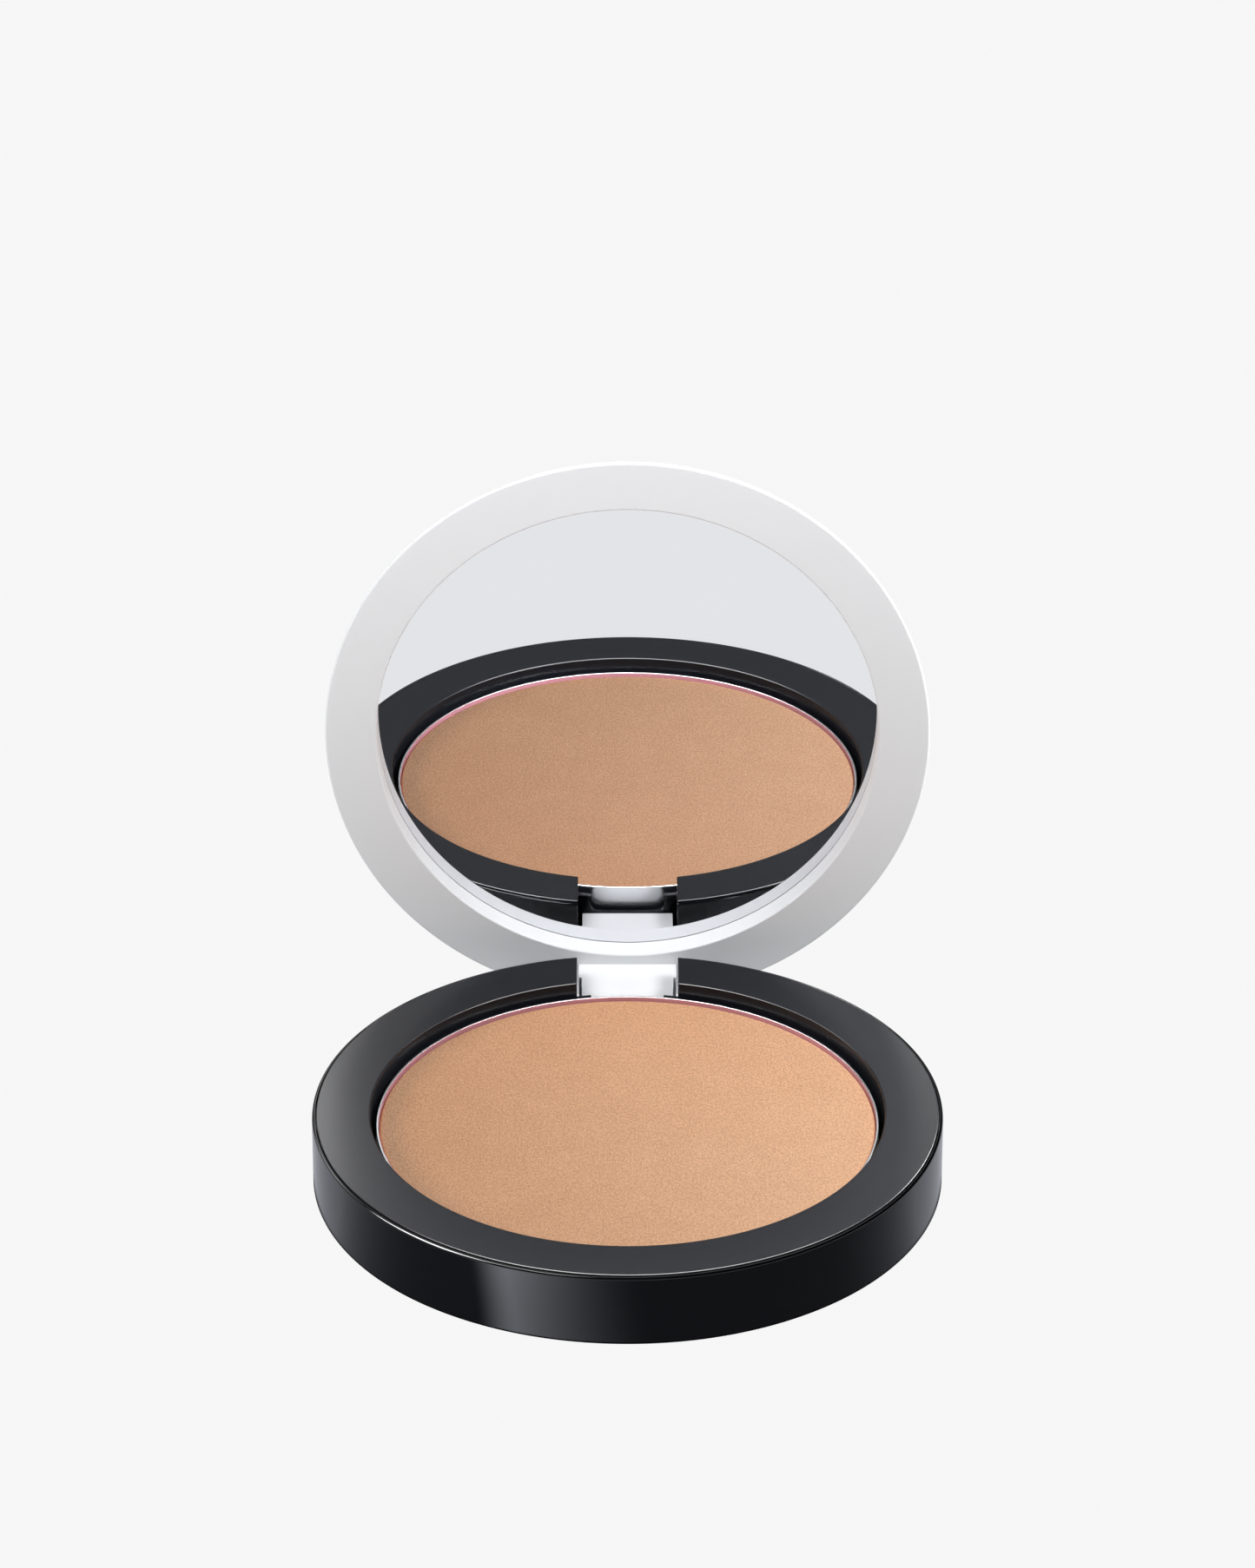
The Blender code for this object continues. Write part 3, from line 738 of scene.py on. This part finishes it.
# Which pieces a lamp lights. The lid's back and the powder each have lamps of their own.
PIECES = ["compact_base_shell", "compact_tray", "compact_pan", "compact_hinge_pin", "compact_lid_frame",
          "compact_mirror", "compact_lid_cover", "compact_powder"]
FRONT_PIECES = PIECES[:6]
ALL_BUT_POWDER = PIECES[:7]
LID_SIDE = PIECES[1:7]
COVER_ONLY = ["compact_lid_cover"]
POWDER_ONLY = ["compact_powder"]

# Soft boxes: name, place, point they face, width and height (all in millimetres), power in watts,
# colour, and the pieces they light.
NEUTRAL = (1.0, 1.0, 1.0)
COOL = (0.63, 1.0, 1.6)
SOFT_BOXES = [
    ("left_back", (-480, 420, 330), (0, 0, 10), (300, 300), 0.98, NEUTRAL, FRONT_PIECES),
    ("back_low", (-70, 700, 380), (0, 0, 10), (360, 200), 0.47, NEUTRAL, FRONT_PIECES),
    ("back_top", (0, 420, 520), (0, 0, 10), (400, 200), 0.38, NEUTRAL, FRONT_PIECES),
    ("right_near_high", (150, -10, 190), (10, 0, 10), (80, 80), 0.38, NEUTRAL, LID_SIDE),
    ("left_near_high", (-150, -30, 200), (0, 30, 50), (80, 80), 0.21, NEUTRAL, ALL_BUT_POWDER),
    ("top_left_near", (-90, -70, 240), (0, 30, 50), (100, 80), 0.265, NEUTRAL, ALL_BUT_POWDER),
    ("right_near_back", (150, 120, 120), (10, 0, 10), (80, 80), 0.54, NEUTRAL, LID_SIDE),
    ("front_mid", (0, -700, 390), (0, 0, 30), (400, 200), 0.05, NEUTRAL, ALL_BUT_POWDER),
    ("powder_right", (75, -10, 120), (0, 0, 10), (60, 60), 0.335, COOL, POWDER_ONLY),
    ("powder_left", (-160, -10, 75), (0, 0, 10), (60, 60), 0.13, NEUTRAL, POWDER_ONLY),
    ("cover_back", (-300, 500, 420), (0, 40, 45), (300, 300), 1.15, NEUTRAL, COVER_ONLY),
]

# Panels that only glossy rays see, for the bright lines along rounded edges.
EDGE_PANELS = [
    ("edge_panel", (0, -60, 520), (0, -60, 0), (600, 560), 18.5, NEUTRAL,
     ["compact_tray", "compact_pan"]),
    ("ring_panel", (-48.5, 38, 37), (-36, -5, 9), (25, 25), 0.003, NEUTRAL, ["compact_tray"]),
    ("shell_panel", (-420, -60, 330), (0, 0, 0), (300, 300), 8.0, NEUTRAL, ["compact_base_shell"]),
]


def make_floor():
    """Pale table that glows evenly. No lamp lights it, so it takes no shadow."""
    mesh = bpy.data.meshes.new("floor")
    half = FLOOR_HALF
    mesh.from_pydata([(-half, -half, 0), (half, -half, 0), (half, half, 0), (-half, half, 0)], [],
                     [(0, 1, 2, 3)])
    floor = place_new("floor", mesh)
    floor.location.z = -FLOOR_DROP
    material, tree, shader = new_material("pale_table", (0.02, 0.02, 0.02), 1.0)
    shader.inputs["Specular IOR Level"].default_value = 0.0
    shader.inputs["Emission Color"].default_value = (1.0, 1.0, 1.0, 1.0)
    shader.inputs["Emission Strength"].default_value = FLOOR_GLOW
    mesh.materials.append(material)


def calculate(tree, operation, first, second=0.0):
    """The result of a Math node, worked out from numbers or other nodes' outputs."""
    node = tree.nodes.new("ShaderNodeMath")
    node.operation = operation
    for socket, value in zip(node.inputs, (first, second)):
        if isinstance(value, (int, float)):
            socket.default_value = value
        else:
            tree.links.new(value, socket)
    return node.outputs["Value"]


def smooth_rise(tree, value, start, end):
    """Nought up to the start, one from the end on, and an even curve between."""
    node = tree.nodes.new("ShaderNodeMapRange")
    node.interpolation_type = "SMOOTHSTEP"
    node.inputs["From Min"].default_value = start
    node.inputs["From Max"].default_value = end
    tree.links.new(value, node.inputs["Value"])
    return node.outputs["Result"]


def painted_reflection_pattern(tree):
    """Brightness of the card where the round wall at a given angle reflects it, which paints the wall's
    reflection: streak, side brightening and foot line.
    """
    place = tree.nodes.new("ShaderNodeTexCoord")
    split = tree.nodes.new("ShaderNodeSeparateXYZ")
    tree.links.new(place.outputs["Object"], split.inputs["Vector"])
    x, y = split.outputs["X"], split.outputs["Y"]
    angle = calculate(tree, "ARCTAN2", x, calculate(tree, "MULTIPLY", y, -1.0))
    away = reach(tree)
    spread = calculate(tree, "SUBTRACT", 2.0, calculate(tree, "DIVIDE", SHELL_RADIUS, away))
    wall = calculate(tree, "DIVIDE", angle, spread)
    height = calculate(tree, "DIVIDE", calculate(tree, "SUBTRACT", away, SHELL_RADIUS), STREAK_SPAN)
    leaning = calculate(tree, "ADD", wall, calculate(tree, "MULTIPLY", height, STREAK_LEAN))
    fall = remap(tree, leaning, 1.0, 0.0, STREAK_FULL, STREAK_END)
    streak = calculate(tree, "MULTIPLY", calculate(tree, "MULTIPLY", fall, fall),
                       smooth_rise(tree, leaning, STREAK_START, STREAK_FULL))
    lift = calculate(tree, "MULTIPLY", calculate(tree, "MULTIPLY", height, height), STREAK_LIFT)
    streak = calculate(tree, "MULTIPLY", streak, calculate(tree, "ADD", lift, 1.0))
    side = remap(tree, calculate(tree, "ABSOLUTE", wall), 0.0, 1.0, SIDE_START, SIDE_FULL)
    side = calculate(tree, "MULTIPLY", calculate(tree, "MULTIPLY", side, side), SIDE_GLOW)
    glow = calculate(tree, "ADD", calculate(tree, "MULTIPLY", streak, STREAK_GLOW), side)
    glow = calculate(tree, "ADD", glow, CARD_GLOW)
    return calculate(tree, "MULTIPLY", glow, smooth_rise(tree, away, *FOOT_SHADE))


def make_painted_reflection_card():
    """Dark card round the foot, which only close, glossy reflections see: a glowing sheet that paints the
    reflection on the base's glossy wall.
    """
    mesh = bpy.data.meshes.new("card")
    shape = bmesh.new()
    bmesh.ops.create_circle(shape, cap_ends=True, segments=96, radius=CARD_RADIUS)
    shape.to_mesh(mesh)
    shape.free()
    card = place_new("card", mesh)
    card.location.z = CARD_HEIGHT
    card.visible_camera = False
    card.visible_diffuse = False
    card.visible_shadow = False
    card.visible_transmission = False
    material = bpy.data.materials.new("painted_reflection_card")
    material.use_nodes = True
    tree = material.node_tree
    tree.nodes.remove(tree.nodes["Principled BSDF"])
    glow = tree.nodes.new("ShaderNodeEmission")
    glow.inputs["Color"].default_value = CARD_TINT
    tree.links.new(painted_reflection_pattern(tree), glow.inputs["Strength"])
    clear = tree.nodes.new("ShaderNodeBsdfTransparent")
    path = tree.nodes.new("ShaderNodeLightPath")
    mix = tree.nodes.new("ShaderNodeMixShader")
    near = calculate(tree, "LESS_THAN", path.outputs["Ray Length"], CARD_REACH)
    tree.links.new(near, mix.inputs["Fac"])
    tree.links.new(clear.outputs["BSDF"], mix.inputs[1])
    tree.links.new(glow.outputs["Emission"], mix.inputs[2])
    tree.links.new(mix.outputs["Shader"], tree.nodes["Material Output"].inputs["Surface"])
    mesh.materials.append(material)


def make_world():
    """The camera sees a pale studio, which sheds no light: the lamps and the floor do that."""
    world = bpy.data.worlds.new("studio")
    bpy.context.scene.world = world
    world.use_nodes = True
    tree = world.node_tree
    back = tree.nodes["Background"]
    path = tree.nodes.new("ShaderNodeLightPath")
    level = tree.nodes.new("ShaderNodeMapRange")
    level.inputs["To Min"].default_value = WORLD_LIGHT
    level.inputs["To Max"].default_value = WORLD_SEEN
    tree.links.new(path.outputs["Is Camera Ray"], level.inputs["Value"])
    tree.links.new(level.outputs["Result"], back.inputs["Strength"])
    back.inputs["Color"].default_value = (1.0, 1.0, 1.0, 1.0)


def light_only(lamp, names):
    """Let a lamp light only the named pieces."""
    receivers = bpy.data.collections.new(lamp.name + "_receivers")
    for name in names:
        receivers.objects.link(bpy.data.objects[name])
    lamp.light_linking.receiver_collection = receivers


def make_lights():
    """Every soft box and edge panel as an area lamp of its own."""
    panels = [panel[0] for panel in EDGE_PANELS]
    for name, place, aim, size, power, colour, pieces in SOFT_BOXES + EDGE_PANELS:
        light = bpy.data.lights.new(name, "AREA")
        light.shape = "RECTANGLE"
        light.size = size[0] * MM
        light.size_y = size[1] * MM
        light.energy = power
        light.color = colour
        obj = place_new(name, light)
        obj.location = Vector(place) * MM
        obj.rotation_euler = (Vector(aim) - Vector(place)).to_track_quat("-Z", "Y").to_euler()
        obj.visible_camera = False
        obj.visible_diffuse = name not in panels
        light_only(obj, pieces)


CAMERA_AIM = Vector((0.0, 0.0, 52.3 * MM))
CAMERA_DISTANCE = 775.7 * MM
CAMERA_PITCH = math.radians(28.1)
CAMERA_LENS = 155.78


def make_camera():
    """The camera at the photo's angle, straight in front and looking down on the compact."""
    data = bpy.data.cameras.new("camera")
    data.sensor_width = 36.0
    data.lens = CAMERA_LENS
    data.clip_start = 0.05
    data.clip_end = 20.0
    camera = place_new("camera", data)
    back = Vector((0.0, -math.cos(CAMERA_PITCH), math.sin(CAMERA_PITCH)))
    camera.location = CAMERA_AIM + back * CAMERA_DISTANCE
    camera.rotation_euler = (math.pi / 2 - CAMERA_PITCH, 0.0, 0.0)
    bpy.context.scene.camera = camera


def main():
    white = satin_white()
    make_shell(gloss_black())
    make_tray(satin_black("satin_black_plastic", RING_SHINE), satin_black("dull_black_plastic", WELL_SHINE))
    make_pan(bright_tin())
    make_cake(pressed_powder())
    make_frame(white)
    make_cover(white)
    make_mirror(mirror_silver())
    make_pin(polished_steel("drawn_steel", (0.62, 0.62, 0.64)))
    nickel = polished_steel("nickel_plate", (0.72, 0.69, 0.64))
    tape = paper_or_tape("adhesive_film", (0.74, 0.73, 0.69), 0.55)
    make_disc("base_magnet", "base", nickel, "magnet_nickel", 0.1 * MM)
    make_disc("pan_adhesive", "base", tape, "adhesive", 0.03 * MM)
    label = paper_or_tape("label_stock", (0.78, 0.78, 0.78), 0.45)
    make_disc("base_label", "base", label, "label_paper", 0.02 * MM)
    make_disc("lid_magnet", "lid", nickel, "magnet_nickel", 0.1 * MM, lid=True)
    make_disc("mirror_adhesive", "lid", tape, "adhesive", 0.03 * MM, lid=True)
    make_floor()
    make_painted_reflection_card()
    make_world()
    make_lights()
    make_camera()
    bpy.context.scene.view_settings.view_transform = "Standard"


main()
